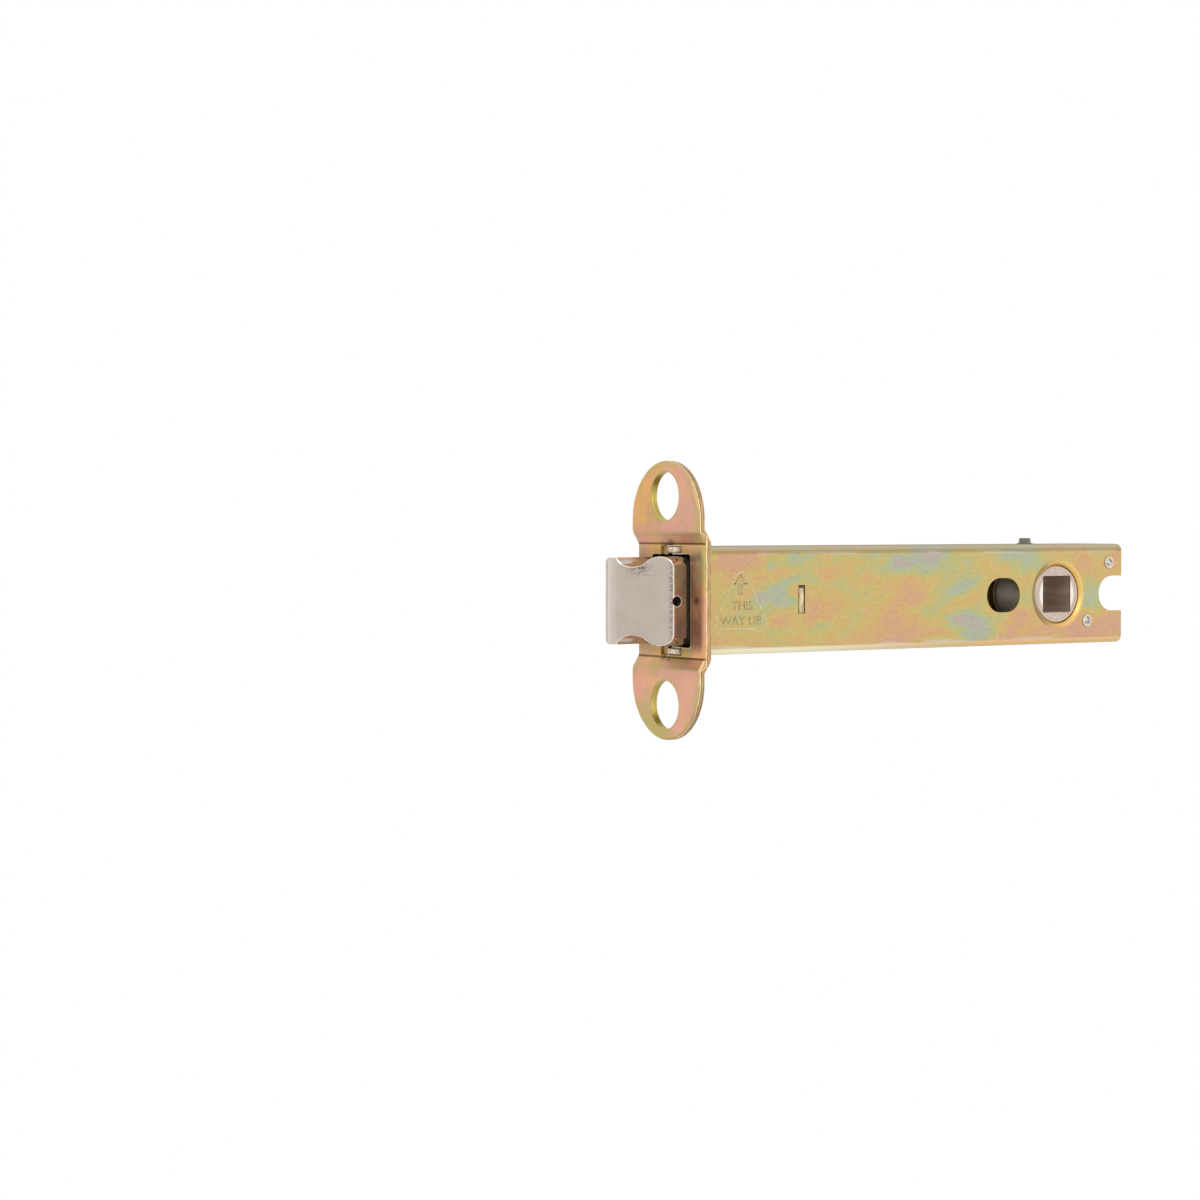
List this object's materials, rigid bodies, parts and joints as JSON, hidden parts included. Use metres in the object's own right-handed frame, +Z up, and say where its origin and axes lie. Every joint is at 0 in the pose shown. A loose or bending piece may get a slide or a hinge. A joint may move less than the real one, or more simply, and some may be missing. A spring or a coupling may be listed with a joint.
{
  "type": "tubular door latch",
  "caption": "Tubular mortice door latch: sprung bevelled bolt in a long flat case, butterfly forend with ear screw holes, square-spindle hub.",
  "frame": {"origin": "centre of the forend's two screw holes, on the front face of the ears", "axes": "+X along the case, from the forend into the door; +Z up, along the line of the two screw holes; the bolt's bevel faces -X and -Y"},
  "size_m": [0.13, 0.024, 0.057],
  "materials": {
    "forend_plate": "yellow passivated zinc, satin",
    "case_shell": "yellow passivated zinc, satin",
    "case_cover": "yellow passivated zinc, satin",
    "latch_bolt": "nickel plated, brushed bevel",
    "bolt_pin": "plain steel",
    "bolt_tail": "plain steel",
    "tail_washer": "bright zinc",
    "tail_clip": "blackened spring steel",
    "bolt_spring": "spring steel",
    "spring_plate": "bright zinc",
    "drawbar": "bright zinc",
    "upper_bar": "bright zinc",
    "lower_bar": "bright zinc",
    "return_spring": "spring steel",
    "return_plate": "bright zinc",
    "hub": "nickel plated",
    "upper_spacer": "bright zinc, riveted over",
    "lower_spacer": "bright zinc, riveted over",
    "top_stud": "grey zinc"
  },
  "bodies": {
    "case": {"forend_plate": "forend_plate", "case_shell": "case_shell", "case_cover": "case_cover", "spring_plate": "spring_plate", "return_plate": "return_plate", "upper_spacer": "upper_spacer", "lower_spacer": "lower_spacer", "top_stud": "top_stud", "bolt_spring": "bolt_spring", "return_spring": "return_spring"},
    "drawbar": {"drawbar": "drawbar", "upper_bar": "upper_bar", "lower_bar": "lower_bar"},
    "bolt": {"latch_bolt": "latch_bolt", "bolt_pin": "bolt_pin", "bolt_tail": "bolt_tail", "tail_washer": "tail_washer", "tail_clip": "tail_clip"},
    "hub": {"hub": "hub"}
  },
  "joints": [
    {"name": "hub_turn", "type": "hinge", "parent": "case", "child": "hub", "pos_m": [0.1005, 0, 0], "axis": [0, 1, 0], "range_deg": [0, 60]},
    {"name": "drawbar_slide", "type": "slide", "parent": "case", "child": "drawbar", "axis": [1, 0, 0], "range_m": [0, 0.0089], "stiffness_N_per_m": 900, "springref_m": -0.006, "deforming": ["return_spring", "bolt_spring"]},
    {"name": "bolt_slide", "type": "slide", "parent": "drawbar", "child": "bolt", "axis": [1, 0, 0], "range_m": [0, 0.0089], "stiffness_N_per_m": 300, "springref_m": -0.008, "deforming": ["bolt_spring"]}
  ],
  "couplings": [
    {"joint": "hub_turn", "follows": "drawbar_slide", "rad_per_m": 117.6}
  ]
}
